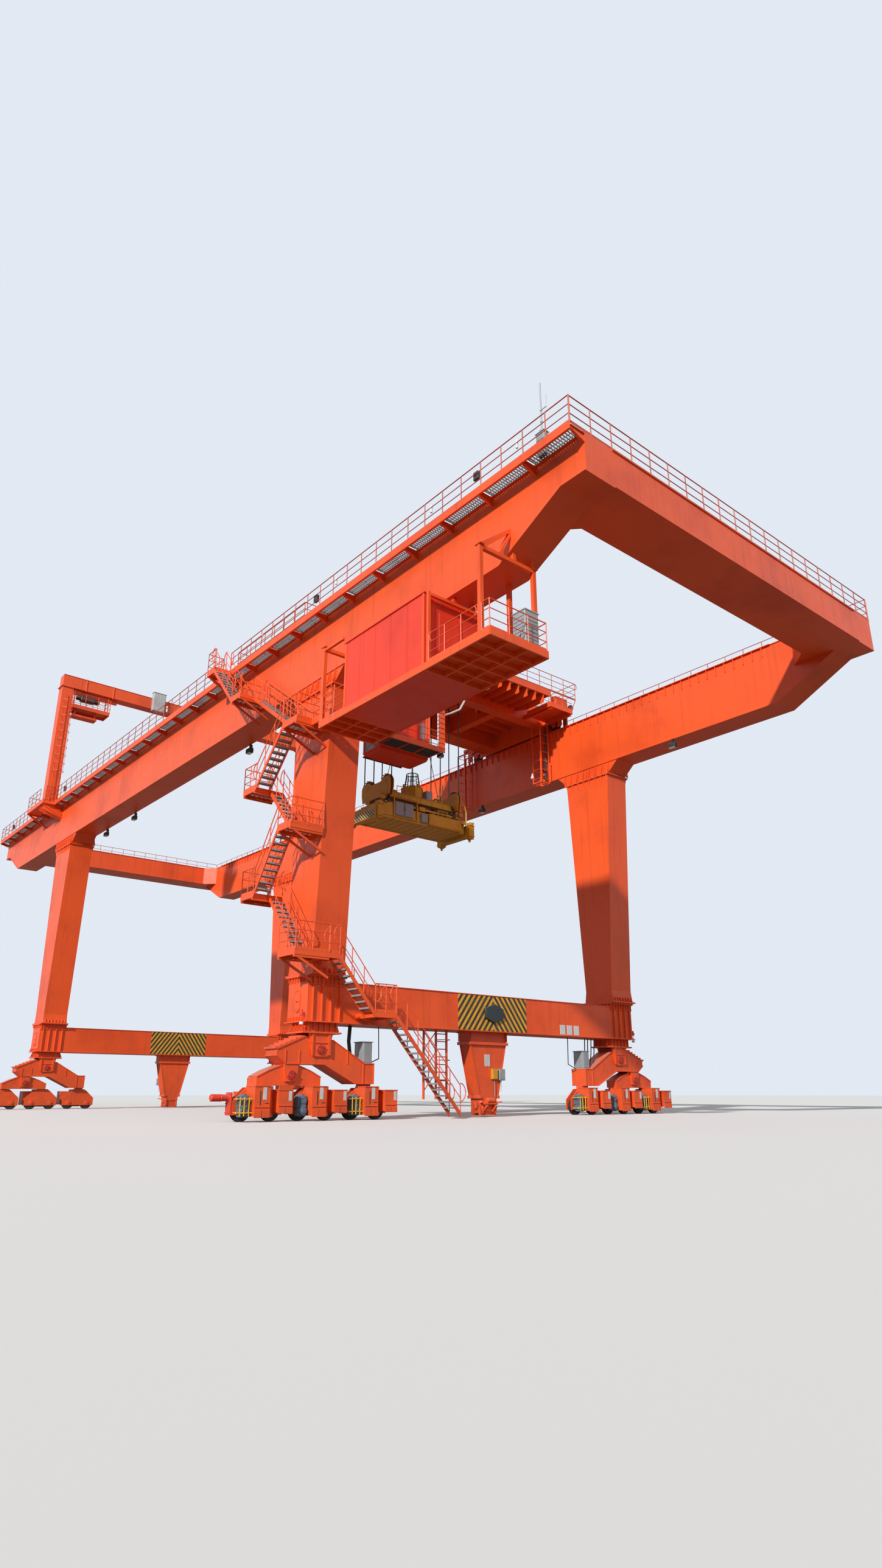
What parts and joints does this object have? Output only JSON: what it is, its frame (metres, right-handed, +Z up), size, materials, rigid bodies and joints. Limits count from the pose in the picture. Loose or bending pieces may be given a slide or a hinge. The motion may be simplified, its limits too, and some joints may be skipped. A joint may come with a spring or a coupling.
{
  "type": "rail-mounted gantry crane, 1:2 scale model",
  "caption": "Double-girder rail-mounted container gantry crane with overhanging ends, a travelling trolley with a hanging cab, a telescopic spreader on ropes and a zigzag stair.",
  "frame": {"origin": "middle of the rectangle of the four corners, on the level of the wheel bottoms", "axes": "+X along the main girders towards the stair end, +Y along the rails towards the girder with no walkway, +Z up"},
  "size_m": [30.9, 12.408, 15.14],
  "materials": {
    "orange_paint": "gloss orange machine paint",
    "red_paint": "gloss red machine paint",
    "grey_paint": "galvanised grey",
    "yellow_paint": "worn ochre machine paint",
    "blue_grey_paint": "satin blue-grey paint",
    "rail_steel": "run-in rail steel",
    "dark_steel": "dark oiled steel",
    "rope_steel": "greased wire rope"
  },
  "bodies": {
    "crane": {"girder_left": "orange_paint", "girder_right": "orange_paint", "tie_beams": "orange_paint", "corner_gussets": "orange_paint", "trolley_rails": "rail_steel", "leg_near_left": "orange_paint", "leg_near_right": "orange_paint", "leg_far_left": "orange_paint", "leg_far_right": "orange_paint", "leg_bases": "orange_paint", "sill_beams": "orange_paint", "sill_supports": "orange_paint", "rail_clamps": "orange_paint", "equalizer_clevises": "orange_paint", "main_equalizers": "orange_paint", "sub_equalizers": "orange_paint", "pivot_pins": "dark_steel", "bogies": "orange_paint", "wheels": "dark_steel", "drive_units": "blue_grey_paint", "guard_boxes": "orange_paint", "rail_buffers": "red_paint", "girder_walkway": "orange_paint", "walkway_platforms": "orange_paint", "girder_handrails": "orange_paint", "electrical_house": "red_paint", "house_platforms": "orange_paint", "house_frames": "orange_paint", "house_handrails": "orange_paint", "stair_landings": "orange_paint", "stair_flights": "orange_paint", "stair_treads": "grey_paint", "stair_handrails": "orange_paint", "portal_columns": "orange_paint", "portal_beam": "orange_paint", "portal_platform": "orange_paint", "control_cabinets": "grey_paint", "antenna_mast": "grey_paint"},
    "trolley": {"trolley_frame": "orange_paint", "trolley_wheels": "dark_steel", "trolley_deck": "orange_paint", "trolley_walkways": "orange_paint", "machinery_house": "red_paint", "side_ladders": "orange_paint", "operator_cab": "red_paint", "cab_hanger": "orange_paint"},
    "spreader": {"spreader_frame": "yellow_paint", "head_block": "yellow_paint", "rope_sheaves": "dark_steel", "cable_basket": "yellow_paint", "hoist_ropes": "rope_steel"},
    "arm_left": {"spreader_arm_left": "yellow_paint"},
    "arm_right": {"spreader_arm_right": "yellow_paint"}
  },
  "joints": [
    {"name": "trolley_travel", "type": "slide", "parent": "crane", "child": "trolley", "axis": [1, 0, 0], "range_m": [-17.05, 6.75]},
    {"name": "hoist", "type": "slide", "parent": "trolley", "child": "spreader", "axis": [0, 0, 1], "range_m": [-5.42, 0.98], "deforming": ["hoist_ropes"]},
    {"name": "telescope_left", "type": "slide", "parent": "spreader", "child": "arm_left", "axis": [0, -1, 0], "range_m": [0, 1.53]},
    {"name": "telescope_right", "type": "slide", "parent": "spreader", "child": "arm_right", "axis": [0, 1, 0], "range_m": [0, 1.53]}
  ],
  "couplings": [
    {"joint": "telescope_right", "follows": "telescope_left", "ratio": 1}
  ]
}
